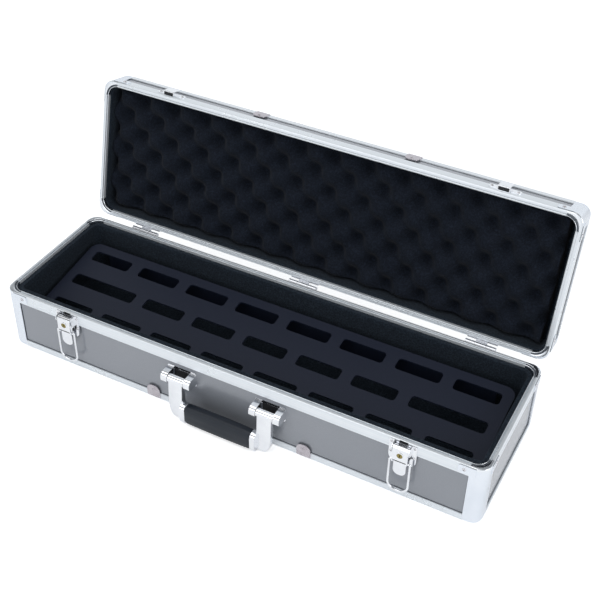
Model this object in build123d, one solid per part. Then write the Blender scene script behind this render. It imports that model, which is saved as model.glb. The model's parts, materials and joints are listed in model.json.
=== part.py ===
from build123d import *
import os
from math import cos, radians, sin, tan

# Long case for effect pedals: an aluminium-framed box with a shallow hinged lid and an
# inclined slotted board inside. Units mm. Origin: centre of the flat underside. X runs along
# the length, -Y is the front with the handle and latches, +Z is up. The lid stands open.

# Case
case_length = 600.0
case_depth = 175.0
base_height = 82.5
lid_height = 38.0
lid_gap = 0.4                 # between the two rims when the lid is shut
lid_open_angle = 103.4
half_length = case_length / 2
half_depth = case_depth / 2
front = -half_depth

# Frame extrusions and panels
gauge = 1.5                   # wall of every extrusion and corner
panel = 3.5                   # side panel thickness
floor_panel = 4.0
panel_in = gauge + panel      # inner face of a side panel, from the outside
rim_width, rim_bevel = 6.2, 0.8
rim_face = 17.5               # height of the rim extrusion's outer flange
rim_web = 3.5
rim_lip = 9.0                 # depth of its inner flange
edge_face = 13.0              # both legs of the edge extrusion
edge_round = 3.0
corner_face = 19.2
corner_round = 12.0
corner_foot_round = 4.0
panel_end = corner_round      # side panels stop where the corner starts to curve
groove_from, groove_to, groove_deep = 2.7, 5.3, 1.8
tongue_from, tongue_to, tongue_high, tongue_setback = 3.7, 5.0, 1.5, 1.0
pocket_near, pocket_far, pocket_deep = 4.2, 13.4, 2.6
chamfer_reach = 15.0
ear_out, ear_reach, ear_low, ear_high = 0.8, 31.0, 12.4, 1.2   # ear_low, ear_high: below the rim

# Soft parts
lining = 2.0
lining_below_rim = 4.0        # in the lid
foam_x, foam_y = (-291.5, 284.5), (-79.0, 75.5)   # lid shut
foam_below_rim = 9.0
pit_pitch, pit_start = (43.25, 44.8), (29.2, -0.2)   # a row of pits; the next row is half a pitch over
pit_mouth, pit_deep, pit_taper = (20.0, 20.4), 15.0, 22.6

# Edge clips
clip_x, clip_width, clip_top, clip_gauge = 97.0, 17.0, 20.0, 1.0

# Hinges
hinge_places = (-225.0, 0.0, 225.0)
hinge_width = 36.0
hinge_out = 4.9               # axis behind the back face
hinge_down = 4.4              # axis below the base rim
hinge_gauge = 1.2
knuckle_radius, hinge_pin_radius = 3.6, 1.3
knuckle_split = 6.6           # half the lid knuckle's length
knuckle_gap, strap_gap = 0.3, 0.35
leaf_down, leaf_up = 20.0, 20.0
hinge_y = half_depth + hinge_out
hinge_z = base_height - hinge_down
run_clearance = 0.05

# Draw latches; every "out" is a distance in front of the case's front face
latch_places = {"left": -210.0, "right": 210.0}
plate_half, plate_low, plate_high, plate_gauge = 15.4, 49.0, 81.5, 1.2
plate_foot_round = 11.5
plate_notch = (4.9, 78.2)     # half width and foot of the notch in the plate's top edge
ear_gap, ear_gauge, ear_radius, ear_foot_z = 8.9, 1.0, 4.6, 68.0
lever_pivot_out, lever_pivot_z = 5.3, 76.0
bail_pivot_out, bail_pivot_z = 6.4, 59.0
lever_half, lever_gauge, lever_back, lever_waist_z = 8.6, 1.2, 1.5, 62.0
lever_barrel, lever_lobe = 3.8, 2.7
lever_front = lever_pivot_out + lever_barrel
step_z, tongue_half, tongue_tip_z, tongue_front = 61.5, 7.1, 38.5, 6.2
latch_pin_radius, wire_radius = 1.2, 1.1
bail_half, bail_length, bail_round, bail_end = 11.4, 44.0, 10.5, 7.7
lock_z, lock_barrel, lock_plug, keyway = 69.3, 4.6, 3.2, (0.9, 3.6, 1.6)
lock_back, plug_proud = 3.4, 0.1
cam_size = (3.6, 9.0, 1.0)
strike_low, strike_high, strike_lip, strike_out = 2.5, 16.2, 20.0, 5.8   # above the lid rim
strike_half, strike_gauge = 7.0, 1.2
strike_ear, strike_ear_z, strike_ear_half = 18.6, 10.0, 4.5

# Handle
handle_pitch = 112.0
bracket_half, bracket_low, bracket_high, bracket_plate = 18.5, 44.0, 64.0, 2.0
lug_in, lug_low, lug_high, lug_out = 10.7, 48.5, 61.5, 16.0
handle_out, handle_z = 11.0, 55.0
handle_pin, barrel_radius, barrel_half = 2.0, 5.0, 10.35
grip_out, grip_z, grip_deep, grip_tall, grip_length = 15.0, 15.6, 13.5, 23.5, 83.0
arm_half, arm_front, arm_back, arm_turn = 9.0, 17.5, 9.2, 11.0

# Inclined board
deck_length, deck_depth, deck_gauge, deck_corner = 564.0, 127.0, 2.0, 12.0
deck_slope = 8.6
deck_mid_z = 51.2
slot_length, slot_width, slot_pitch, row_pitch, slot_corner = 54.3, 16.5, 69.4, 43.0, 4.0
slots_per_row = 8
leg_y, leg_flange, leg_gauge, leg_length = 61.5, 9.0, 1.5, 520.0
pad_radius, pad_thick, board_pad_x = 4.5, 2.0, 230.0

os.makedirs("parts", exist_ok=True)


def block(x0, x1, y0, y1, z0, z1):
    middle = Pos((x0 + x1) / 2, (y0 + y1) / 2, (z0 + z1) / 2)
    return middle * Box(abs(x1 - x0), abs(y1 - y0), abs(z1 - z0))


def outline(*points):
    return make_face(Polyline(*points, close=True))


def prism(section, length):
    """A section drawn as (y, z), pulled out along X to both sides of x = 0."""
    return extrude(Plane.YZ * section, length / 2, both=True)


def rod(radius, length, x=0.0, y=0.0, z=0.0):
    """A cylinder along X, centred on x."""
    return Pos(x, y, z) * Rot(0, 90, 0) * Cylinder(radius, length)


def stud(radius, height, x, out, z):
    """A cylinder standing out from the front of the case, seated at the distance out."""
    return Pos(x, front - out - height / 2, z) * Rot(90, 0, 0) * Cylinder(radius, height)


def solids(*shapes):
    found = [solid for shape in shapes for solid in shape.solids()]
    return Compound(children=found) if len(found) > 1 else found[0]


# ---- half shells: z = 0 is the closed face, z = height is the rim ----

def around(section, height, ends=corner_face):
    """One straight extrusion per side: front, right, back, left."""
    long_bar = prism(section, case_length - 2 * ends)
    short_bar = prism(section, case_depth - 2 * ends)
    return [
        Pos(0, -half_depth, height) * long_bar,
        Pos(half_length, 0, height) * Rot(0, 0, 90) * short_bar,
        Pos(0, half_depth, height) * Rot(0, 0, 180) * long_bar,
        Pos(-half_length, 0, height) * Rot(0, 0, -90) * short_bar,
    ]


def rim_profiles(height, groove):
    """Extrusion that caps the side panels; groove is the dip in its top, as (u, v) points."""
    section = outline(
        (gauge, -rim_face), (0, -rim_face), (0, -rim_bevel), (rim_bevel, 0), *groove, (rim_width, 0),
        (rim_width, -rim_lip), (panel_in, -rim_lip), (panel_in, -rim_web), (gauge, -rim_web))
    return around(section, height)


def grooved_rim(height):
    dip = [(groove_from, 0), (groove_from, -groove_deep), (groove_to, -groove_deep), (groove_to, 0)]
    return solids(*rim_profiles(height, dip))


def tongued_rim(height):
    """The same extrusion with a tongue, cut back at the corners, that drops into the groove."""
    strip = outline((tongue_from, 0), (tongue_from, tongue_high), (tongue_to, tongue_high), (tongue_to, 0))
    tongues = around(strip, height, corner_face + tongue_setback)
    return solids(*[bar + tongue for bar, tongue in zip(rim_profiles(height, []), tongues)])


def edge_profiles():
    """Angle extrusion along the closed face, with a rounded outer edge."""
    section = outline(
        (0, edge_face), (0, 0), (edge_face, 0), (edge_face, gauge), (gauge, gauge), (gauge, edge_face))
    outer = section.vertices().sort_by(lambda vertex: vertex.X + vertex.Y)[0]
    return solids(*around(fillet(outer, edge_round), 0))


def side_panels(height):
    """The four laminated side panels, keyed by side."""
    top = height - rim_web
    reach_x, reach_y = half_length - panel_end, half_depth - panel_end
    near_x, near_y = half_length - panel_in, half_depth - panel_in
    far_x, far_y = half_length - gauge, half_depth - gauge
    return {
        "front": block(-reach_x, reach_x, -far_y, -near_y, gauge, top),
        "back": block(-reach_x, reach_x, near_y, far_y, gauge, top),
        "left": block(-far_x, -near_x, -reach_y, reach_y, gauge, top),
        "right": block(near_x, far_x, -reach_y, reach_y, gauge, top),
    }


def closing_panel():
    """The large panel: flush with the frame outside, rebated over its flanges."""
    x_in, y_in = half_length - panel_in, half_depth - panel_in
    x_open, y_open = half_length - edge_face, half_depth - edge_face
    return block(-x_in, x_in, -y_in, y_in, gauge, floor_panel) + block(-x_open, x_open, -y_open, y_open, 0, gauge)


def at_corners(piece):
    """A piece made for the front left corner, mirrored to all four."""
    right = mirror(piece, about=Plane.YZ)
    return solids(piece, right, mirror(piece, about=Plane.XZ), mirror(right, about=Plane.XZ))


def corner_posts(height):
    """Rounded corner shells with a riveting ear on each face."""
    top = height - rim_web
    outer = block(0, corner_face, 0, corner_face, 0, top)
    upright = outer.edges().filter_by(Axis.Z).sort_by(lambda edge: edge.center().X + edge.center().Y)[0]
    outer = fillet(upright, corner_round)
    foot = [edge for edge in outer.edges().group_by(Axis.Z)[0] if min(edge.center().X, edge.center().Y) < gauge * 3]
    foot = [edge for edge in foot if max(edge.center().X, edge.center().Y) < corner_face - 0.01]
    outer = fillet(foot, corner_foot_round)
    cavity = block(gauge, corner_face, gauge, corner_face, gauge, top)
    upright = cavity.edges().filter_by(Axis.Z).sort_by(lambda edge: edge.center().X + edge.center().Y)[0]
    cavity = fillet(upright, corner_round - gauge)
    post = outer - cavity - block(edge_face, corner_face, edge_face, corner_face, 0, gauge)
    low, high = height - ear_low, height - ear_high
    tab = block(corner_round, ear_reach, -ear_out, 0, low, high)
    tab = fillet(tab.edges().filter_by(Axis.Y).group_by(Axis.X)[-1], 3.0)
    side_tab = mirror(tab, about=Plane(origin=(0, 0, 0), z_dir=(1, -1, 0)))
    return at_corners(Pos(-half_length, -half_depth, 0) * (post + tab + side_tab))


def rim_corners(height):
    """Bright corner insert: rounded outside, chamfered inside, with a three-cornered pocket."""
    insert = extrude(outline(
        (corner_face, 0), (0, 0), (0, corner_face), (rim_width, corner_face), (rim_width, chamfer_reach),
        (chamfer_reach, rim_width), (corner_face, rim_width)), rim_web)
    upright = insert.edges().filter_by(Axis.Z).sort_by(lambda edge: edge.center().X + edge.center().Y)[0]
    insert = fillet(upright, corner_round)
    triangle = outline((pocket_near, pocket_near), (pocket_far, pocket_near), (pocket_near, pocket_far))
    pocket = Pos(0, 0, rim_web - pocket_deep) * extrude(triangle, pocket_deep)
    return at_corners(Pos(-half_length, -half_depth, height - rim_web) * (insert - pocket))


def lid_place(shape):
    """From a half shell's own frame to the open lid's place."""
    shut = Pos(0, 0, base_height + lid_gap + lid_height) * mirror(shape, about=Plane.XY)
    return open_lid(shut)


def open_lid(shut):
    return shut.rotate(Axis((0, hinge_y, hinge_z), (1, 0, 0)), -lid_open_angle)


def floor_lining():
    x, y = half_length - panel_in, half_depth - panel_in
    return block(-x, x, -y, y, floor_panel, floor_panel + lining)


def wall_linings():
    """Soft black sheets on the base's walls, tucked under the rim extrusion's lip."""
    x, y = half_length - panel_in, half_depth - panel_in
    low, high = floor_panel + lining, base_height - rim_lip
    return solids(
        block(-x, x, -y, -y + lining, low, high), block(-x, x, y - lining, y, low, high),
        block(-x, -x + lining, -y + lining, y - lining, low, high),
        block(x - lining, x, -y + lining, y - lining, low, high))


def lid_linings():
    """Thin sheets on the lid's closing panel and, over the rim extrusion's lip, on its walls."""
    x, y = half_length - rim_width, half_depth - rim_width
    low, high = floor_panel + lining, lid_height - lining_below_rim
    return solids(
        block(-x, x, -y, y, floor_panel, low),
        block(-x, x, -y, -y + lining, low, high), block(-x, x, y - lining, y, low, high),
        block(-x, -x + lining, -y + lining, y - lining, low, high),
        block(x - lining, x, -y + lining, y - lining, low, high))


def foam_pits():
    """Places of the foam's pits: rows along X, every other row shifted by half a pitch."""
    half_x, half_y = pit_pitch[0] / 2, pit_pitch[1] / 2
    columns = range(-16, 14)
    rows = range(-4, 5)
    places = [(i, j) for i in columns for j in rows if (i + j) % 2 == 0]
    return [(pit_start[0] + i * half_x, pit_start[1] + j * half_y) for i, j in places]


def lid_foam():
    """Egg-crate foam: a slab with a tapered pit between every four peaks."""
    top = lid_height - foam_below_rim
    slab = block(*foam_x, *foam_y, floor_panel + lining, top)
    pit = extrude(Rectangle(*pit_mouth), pit_deep, taper=pit_taper)
    return slab - [Pos(x, y, top) * Rot(180, 0, 0) * pit for x, y in foam_pits()]


def edge_clips():
    """Round-topped clips that pin the edge extrusion to the front and back panels."""
    clips = []
    for x in (-clip_x, clip_x):
        tab = block(x - clip_width / 2, x + clip_width / 2, front - clip_gauge, front, edge_round, clip_top)
        tab = fillet(tab.edges().filter_by(Axis.Y).group_by(Axis.Z)[-1], clip_width * 0.42)
        clips += [tab, mirror(tab, about=Plane.XZ)]
    return solids(*clips)


# ---- hinges ----

def hinge_base_leaf(x):
    """Leaf on the base with its two outer knuckles."""
    half = hinge_width / 2
    leaf = block(x - half, x + half, half_depth, half_depth + hinge_gauge, hinge_z - leaf_down, hinge_z)
    middle = knuckle_split + knuckle_gap
    low = hinge_z - knuckle_radius
    for side in (-1, 1):
        near, far = x + side * middle, x + side * half
        leaf += rod(knuckle_radius, half - middle, (near + far) / 2, hinge_y, hinge_z)
        leaf += block(near, far, half_depth, hinge_y, low, low + hinge_gauge)
    leaf -= block(x - middle, x + middle, half_depth - 1, hinge_y, low - knuckle_gap, hinge_z + knuckle_radius)
    return leaf - rod(hinge_pin_radius, hinge_width + 2, x, hinge_y, hinge_z)


def hinge_lid_leaf(x):
    """Leaf on the lid with its middle knuckle, as it stands with the lid shut."""
    half = hinge_width / 2
    rim = base_height + lid_gap
    plate = block(x - half, x + half, half_depth, half_depth + hinge_gauge, rim, rim + leaf_up)
    top = hinge_z + knuckle_radius
    near, far = x - knuckle_split, x + knuckle_split
    strap = block(near, far, half_depth + strap_gap, half_depth + hinge_gauge, top - hinge_gauge, rim)
    strap += block(near, far, half_depth + strap_gap, hinge_y, top - hinge_gauge, top)
    knuckle = rod(knuckle_radius, 2 * knuckle_split, x, hinge_y, hinge_z)
    bore = rod(hinge_pin_radius + run_clearance, hinge_width, x, hinge_y, hinge_z)
    return plate + strap + knuckle - bore


# ---- draw latches, modelled at x = 0 ----

def latch_plate():
    """Back plate with two ears that carry the lever's pin."""
    plate = block(-plate_half, plate_half, front - plate_gauge, front, plate_low, plate_high)
    plate = fillet(plate.edges().filter_by(Axis.Y).group_by(Axis.Z)[0], plate_foot_round)
    plate = fillet(plate.edges().filter_by(Axis.Y).group_by(Axis.Z)[-1], 2.0)
    notch_half, notch_z = plate_notch
    plate -= block(-notch_half, notch_half, front - plate_gauge, front, notch_z, plate_high)
    pivot_y = front - lever_pivot_out
    for side in (-1, 1):
        near, far = side * ear_gap, side * (ear_gap + ear_gauge)
        plate += block(near, far, pivot_y, front - plate_gauge, ear_foot_z, lever_pivot_z + ear_radius)
        plate += rod(ear_radius, ear_gauge, (near + far) / 2, pivot_y, lever_pivot_z)
    return plate - rod(latch_pin_radius, 2 * plate_half, 0, pivot_y, lever_pivot_z)


def latch_pin():
    return rod(latch_pin_radius, 2 * (ear_gap + ear_gauge), 0, front - lever_pivot_out, lever_pivot_z)


def lever_cheek():
    """Side outline of the lever: barrel round the pin above, lobe round the bail below."""
    pivot, lobe = (front - lever_pivot_out, lever_pivot_z), (front - bail_pivot_out, bail_pivot_z)
    face, back = front - lever_front, front - lever_back
    side = prism(outline(
        (face, lobe[1]), (face, pivot[1]), (back, pivot[1]), (back, lever_waist_z), (lobe[0] + lever_lobe, lobe[1])),
        2 * lever_half)
    return side + rod(lever_barrel, 2 * lever_half, 0, *pivot) + rod(lever_lobe, 2 * lever_half, 0, *lobe)


def latch_lever():
    """Pressed lever: a hooded box round the lock and a rounded finger tongue set back below it."""
    inner = lever_half - lever_gauge
    face, tongue_face = front - lever_front, front - tongue_front
    low = bail_pivot_z - lever_lobe
    lever = lever_cheek() - block(-inner, inner, face + lever_gauge, front, low, lever_pivot_z)
    lever -= block(-inner, inner, face, front, low, step_z)
    lever -= rod(lever_barrel - lever_gauge, 2 * inner, 0, front - lever_pivot_out, lever_pivot_z)
    lever += block(-inner, inner, face, tongue_face + lever_gauge, step_z, step_z + lever_gauge)
    blade = block(-tongue_half, tongue_half, tongue_face, tongue_face + lever_gauge, tongue_tip_z, step_z + lever_gauge)
    lever += fillet(blade.edges().filter_by(Axis.Y).group_by(Axis.Z)[0], tongue_half - 0.5)
    lever -= rod(latch_pin_radius + run_clearance, 2 * plate_half, 0, front - lever_pivot_out, lever_pivot_z)
    lever -= rod(wire_radius + run_clearance, 2 * plate_half, 0, front - bail_pivot_out, bail_pivot_z)
    return lever - stud(lock_barrel, 2 * lever_gauge, 0, lever_front - lever_gauge, lock_z)


def lock_barrel_body():
    """Fixed tube of the lock, seated in the lever's face."""
    length = lever_front - lock_back + 0.3
    tube = stud(lock_barrel, length, 0, lock_back, lock_z)
    return tube - stud(lock_plug + run_clearance, length, 0, lock_back, lock_z)


def key_plug():
    """Turning plug with a keyway, and the cam behind it."""
    cam_wide, cam_tall, cam_thick = cam_size
    back = lock_back - knuckle_gap
    plug = stud(lock_plug, lever_front + plug_proud - back, 0, back, lock_z)
    width, tall, deep = keyway
    face = front - lever_front - plug_proud
    plug -= block(-width / 2, width / 2, face, face + deep, lock_z - tall / 2, lock_z + tall / 2)
    low, high = lock_z - cam_tall / 2, lock_z + cam_wide / 2
    return plug + block(-cam_wide / 2, cam_wide / 2, front - back, front - back + cam_thick, low, high)


def latch_bail():
    """Wire loop whose bent-in ends turn in the lever's cheeks."""
    y, top, low = front - bail_pivot_out, bail_pivot_z, bail_pivot_z - bail_length
    far, end = bail_half, bail_end
    hanging = FilletPolyline((-far, y, top), (-far, y, low), (far, y, low), (far, y, top), radius=bail_round)
    loop = Line((-end, y, top), (-far, y, top)) + hanging + Line((far, y, top), (end, y, top))
    section = Plane(origin=(-end, y, top), z_dir=(-1, 0, 0)) * Circle(wire_radius)
    return sweep(section, path=loop, transition=Transition.RIGHT)


def latch_strike():
    """Hook that the bail pulls on, with two screw ears; stands on the shut lid."""
    rim = base_height + lid_gap
    middle = rim + strike_ear_z
    ears = block(-strike_ear, strike_ear, front - 1.0, front, middle - strike_ear_half, middle + strike_ear_half)
    ears = fillet(ears.edges().filter_by(Axis.Y), 4.0)
    low, face = rim + strike_low, front - strike_out
    body = block(-strike_half, strike_half, face, front, low, rim + strike_high)
    lip = block(-strike_half, strike_half, face, face + strike_gauge, low, rim + strike_lip)
    hook = fillet((body + lip).edges().filter_by(Axis.X).group_by(Axis.Y)[0], 0.55)
    return ears + hook


# ---- carrying handle ----

def handle_bracket(x):
    """Plate on the panel with two rounded lugs that hold the arm's barrel."""
    face = front + gauge
    plate = block(x - bracket_half, x + bracket_half, face - bracket_plate, face, bracket_low, bracket_high)
    plate = fillet(plate.edges().filter_by(Axis.Y), 2.5)
    for side in (-1, 1):
        near, far = x + side * lug_in, x + side * bracket_half
        lug = block(near, far, front - lug_out, face - bracket_plate, lug_low, lug_high)
        lug = fillet(lug.edges().filter_by(Axis.X).group_by(Axis.Y)[0], 4.5)
        plate += lug
    return plate - rod(handle_pin, 2 * bracket_half - 3.0, x, front - handle_out, handle_z)


def handle_pins():
    return [rod(handle_pin, 2 * bracket_half - 3.0, side * handle_pitch / 2, front - handle_out, handle_z) for side in (-1, 1)]


def handle_arm(side):
    """Arm from its barrel down to the grip's end, its outer foot swept round."""
    x = side * handle_pitch / 2
    pivot_y = front - handle_out
    face, back = front - arm_front, front - arm_back
    low, grip_top = grip_z - grip_tall / 2, grip_z + grip_tall / 2
    strap = prism(outline(
        (pivot_y - barrel_radius, handle_z), (face, grip_top), (face, low + 4.5), (face + 2.5, low), (back - 2.5, low),
        (back, low + 4.5), (back, handle_z - barrel_radius), (pivot_y + 1.0, handle_z)), 2 * arm_half)
    arm = Pos(x, 0, 0) * strap + rod(barrel_radius, 2 * barrel_half, x, pivot_y, handle_z)
    outer_x, turn_x = x + side * arm_half, x + side * (arm_half - arm_turn)
    corner = block(turn_x, outer_x, face, back, low, low + arm_turn)
    arm -= corner - Pos(turn_x, (face + back) / 2, low + arm_turn) * Rot(90, 0, 0) * Cylinder(arm_turn, grip_tall)
    near, far = side * grip_length / 2, x - side * (arm_half - 1.0)
    arm += Pos((near + far) / 2, 0, 0) * grip_section(abs(far - near), -0.6)
    return arm - rod(handle_pin + run_clearance, 2 * bracket_half, x, pivot_y, handle_z)


def grip_section(length, swell=0.0):
    """A length of the grip: a rounded, slightly flattened bar."""
    deep, tall = grip_deep + 2 * swell, grip_tall + 2 * swell
    profile = Plane.YZ * (Pos(front - grip_out, grip_z) * RectangleRounded(deep, tall, deep * 0.42))
    return extrude(profile, length / 2, both=True)


def handle_grip():
    return grip_section(grip_length)


# ---- inclined board ----

def on_slope(shape):
    """From the deck's flat layout to its slope; z = 0 of the layout is the deck's top."""
    return Pos(0, 0, deck_mid_z) * Rot(deck_slope, 0, 0) * shape


def slot(x, y, length):
    return Pos(x, y, -deck_gauge / 2) * extrude(RectangleRounded(length, slot_width, slot_corner), deck_gauge, both=True)


def slot_rows():
    """Outer rows of equal slots; the middle row is staggered between two long ones."""
    gap = slot_pitch - slot_length
    row_length = slots_per_row * slot_pitch - gap
    short = slots_per_row - 3
    long_slot = (row_length - (short + 1) * gap - short * slot_length) / 2
    found = []
    for y in (-row_pitch, row_pitch):
        found += [(slot_pitch * (i - (slots_per_row - 1) / 2), y, slot_length) for i in range(slots_per_row)]
    found += [(slot_pitch * (i - (short - 1) / 2), 0, slot_length) for i in range(short)]
    found += [(side * (row_length - long_slot) / 2, 0, long_slot) for side in (-1, 1)]
    return found


def board_deck():
    sheet = extrude(RectangleRounded(deck_length, deck_depth, deck_corner), -deck_gauge)
    for x, y, length in slot_rows():
        sheet -= slot(x, y, length)
    return on_slope(sheet)


def under_deck(y):
    return deck_mid_z - deck_gauge / cos(radians(deck_slope)) + y * tan(radians(deck_slope))


def board_leg(side):
    """Folded leg rail; side -1 is the low front one."""
    foot_z = floor_panel + lining + pad_thick
    y_out, y_web, y_in = side * leg_y, side * (leg_y - leg_gauge), side * (leg_y - leg_flange)
    return prism(outline(
        (y_out, foot_z), (y_in, foot_z), (y_in, foot_z + leg_gauge), (y_web, foot_z + leg_gauge),
        (y_web, under_deck(y_web) - leg_gauge), (y_in, under_deck(y_in) - leg_gauge),
        (y_in, under_deck(y_in)), (y_out, under_deck(y_out))), leg_length)


def board_pads():
    pads = []
    for x in (-board_pad_x, board_pad_x):
        for y in (-leg_y + leg_flange / 2, leg_y - leg_flange / 2):
            pads.append(Pos(x, y, floor_panel + lining + pad_thick / 2) * Cylinder(pad_radius, pad_thick))
    return solids(*pads)


# ---- nodes ----

nodes = {
    "base_floor_panel": closing_panel(),
    "base_rim_profiles": grooved_rim(base_height),
    "base_edge_profiles": edge_profiles(),
    "base_corner_posts": corner_posts(base_height),
    "base_rim_corners": rim_corners(base_height),
    "base_floor_lining": floor_lining(),
    "base_wall_linings": wall_linings(),
    "base_edge_clips": edge_clips(),
    "lid_top_panel": lid_place(closing_panel()),
    "lid_rim_profiles": lid_place(tongued_rim(lid_height)),
    "lid_edge_profiles": lid_place(edge_profiles()),
    "lid_corner_posts": lid_place(corner_posts(lid_height)),
    "lid_rim_corners": lid_place(rim_corners(lid_height)),
    "lid_wall_pads": lid_place(lid_linings()),
    "lid_foam": lid_place(lid_foam()),
    "lid_edge_clips": lid_place(edge_clips()),
    "hinge_base_leaves": solids(*[hinge_base_leaf(x) for x in hinge_places]),
    "hinge_lid_leaves": open_lid(solids(*[hinge_lid_leaf(x) for x in hinge_places])),
    "hinge_pins": solids(*[rod(hinge_pin_radius, hinge_width, x, hinge_y, hinge_z) for x in hinge_places]),
    "handle_brackets": solids(handle_bracket(-handle_pitch / 2), handle_bracket(handle_pitch / 2)),
    "handle_pins": solids(*handle_pins()),
    "handle_arms": solids(handle_arm(-1), handle_arm(1)),
    "handle_grip": handle_grip(),
    "board_deck": board_deck(),
    "board_front_leg": board_leg(-1),
    "board_rear_leg": board_leg(1),
    "board_pads": board_pads(),
}
for side, wall in side_panels(base_height).items():
    nodes[f"base_{side}_panel"] = wall
for side, wall in side_panels(lid_height).items():
    nodes[f"lid_{side}_panel"] = lid_place(wall)

plates, pins, strikes = [], [], []
for side, x in latch_places.items():
    place = Pos(x, 0, 0)
    plates.append(place * latch_plate())
    pins.append(place * latch_pin())
    strikes.append(open_lid(place * latch_strike()))
    nodes[f"{side}_latch_lever"] = place * latch_lever()
    nodes[f"{side}_lock_barrel"] = place * lock_barrel_body()
    nodes[f"{side}_key_plug"] = place * key_plug()
    nodes[f"{side}_latch_bail"] = place * latch_bail()
nodes["latch_plates"] = solids(*plates)
nodes["latch_pins"] = solids(*pins)
nodes["latch_strikes"] = solids(*strikes)

for name, shape in nodes.items():
    export_step(shape, f"parts/{name}.step")
print(len(nodes), "nodes")
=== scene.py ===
import json
import math
import bpy
import bmesh
from mathutils import Matrix, Vector, noise


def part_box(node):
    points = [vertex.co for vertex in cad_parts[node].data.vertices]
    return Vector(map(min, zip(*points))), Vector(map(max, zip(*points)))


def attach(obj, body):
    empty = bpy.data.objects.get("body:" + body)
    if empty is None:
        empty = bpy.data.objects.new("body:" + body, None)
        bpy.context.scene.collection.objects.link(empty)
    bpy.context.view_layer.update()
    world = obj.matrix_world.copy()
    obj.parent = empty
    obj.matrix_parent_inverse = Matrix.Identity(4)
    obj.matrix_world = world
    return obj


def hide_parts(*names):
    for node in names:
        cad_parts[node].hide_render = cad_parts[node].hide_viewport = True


# Dressed model of a long framed case for effect pedals. Metres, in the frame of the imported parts.

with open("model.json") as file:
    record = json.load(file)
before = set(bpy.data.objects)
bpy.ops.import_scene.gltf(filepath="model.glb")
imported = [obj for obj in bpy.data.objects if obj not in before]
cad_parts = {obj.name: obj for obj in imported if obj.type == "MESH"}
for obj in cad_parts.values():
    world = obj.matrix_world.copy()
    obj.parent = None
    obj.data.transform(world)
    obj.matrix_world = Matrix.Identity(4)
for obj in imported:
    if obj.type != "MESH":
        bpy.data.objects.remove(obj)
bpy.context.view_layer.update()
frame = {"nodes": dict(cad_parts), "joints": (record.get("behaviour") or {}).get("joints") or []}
cadNodes = frame["nodes"]
joints = {joint["name"]: joint for joint in frame["joints"]}

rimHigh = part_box("base_rim_profiles")[1].z
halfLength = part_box("base_rim_profiles")[1].x
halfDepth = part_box("base_rim_profiles")[1].y


def jointMatrix(name, degrees):
    joint = joints[name]
    there = Matrix.Translation(Vector(joint["pos_m"]))
    turn = Matrix.Rotation(math.radians(degrees), 4, Vector(joint["axis"]))
    return there @ turn @ there.inverted()


# the lid is drawn shut, then opened to where the joint rests
openLid = jointMatrix("lid_hinge", -joints["lid_hinge"]["range_deg"][0])
shutLid = openLid.inverted()


def shutBox(node):
    points = [shutLid @ vertex.co for vertex in cadNodes[node].data.vertices]
    low = Vector([min(point[i] for point in points) for i in range(3)])
    high = Vector([max(point[i] for point in points) for i in range(3)])
    return low, high


lidRim = shutBox("lid_rim_corners")[0].z
lidTop = shutBox("lid_top_panel")[1].z
print("frame loaded:", len(cadNodes), "nodes")


shot = {"place": (0.4600, -0.8188, 0.8841), "turn": (51.0000, -1.0324, 27.7520), "lens": 65.374,
        "shift": (-0.0005, -0.0024)}


def makeCamera():
    camera = bpy.data.objects.new("camera", bpy.data.cameras.new("camera"))
    bpy.context.collection.objects.link(camera)
    camera.location = shot["place"]
    camera.rotation_euler = [math.radians(angle) for angle in shot["turn"]]
    camera.data.sensor_width = 36.0
    camera.data.lens = shot["lens"]
    camera.data.shift_x, camera.data.shift_y = shot["shift"]
    camera.data.clip_end = 20.0
    bpy.context.scene.camera = camera


lamps = {
    "overheadSoftbox": {"place": (-0.25, -0.35, 1.55), "aim": (0.0, 0.0, 0.05), "size": (1.6, 1.1), "watts": 7.0},
    "frontSoftbox": {"place": (-0.55, -1.60, 0.95), "aim": (0.0, 0.0, 0.10), "size": (1.2, 0.9), "watts": 4.0},
    "sideSoftbox": {"place": (1.55, -0.25, 0.75), "aim": (0.0, 0.0, 0.10), "size": (0.9, 0.9), "watts": 6.0},
}


def makeLamps():
    for name, lamp in lamps.items():
        data = bpy.data.lights.new(name, "AREA")
        data.shape = "RECTANGLE"
        data.size, data.size_y = lamp["size"]
        data.energy = lamp["watts"]
        light = bpy.data.objects.new(name, data)
        bpy.context.collection.objects.link(light)
        light.location = lamp["place"]
        aim = Vector(lamp["aim"]) - Vector(lamp["place"])
        light.rotation_euler = aim.to_track_quat("-Z", "Y").to_euler()


room = {
    "fill": 0.62, "fillColor": (0.95, 0.975, 1.0), "seen": 1.0,
    # what gloss and metal show, by height of the direction: white horizon, dimmer ceiling, bright zenith
    "mirrored": [(0.50, 1.0), (0.62, 0.92), (0.74, 0.50), (0.86, 0.26), (0.95, 0.34), (1.0, 0.55)],
    "mirroredTint": (0.93, 0.965, 1.0),
}


def setInputs(node, **values):
    # an underscore in a value's name stands for the space in its socket's name
    for label, value in values.items():
        node.inputs[label.replace("_", " ")].default_value = value


def addNode(tree, kind, operation=None, **values):
    node = tree.nodes.new("ShaderNode" + kind)
    if operation:
        node.operation = operation
    setInputs(node, **values)
    return node


def wire(tree, source, output, target, socket):
    tree.links.new(source.outputs[output], target.inputs[socket])


def addShiny(tree):
    # 1 for the rays that come by way of gloss or glass
    path = addNode(tree, "LightPath")
    shiny = addNode(tree, "Math", "MAXIMUM")
    wire(tree, path, "Is Glossy Ray", shiny, 0)
    wire(tree, path, "Is Transmission Ray", shiny, 1)
    return path, shiny


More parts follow.
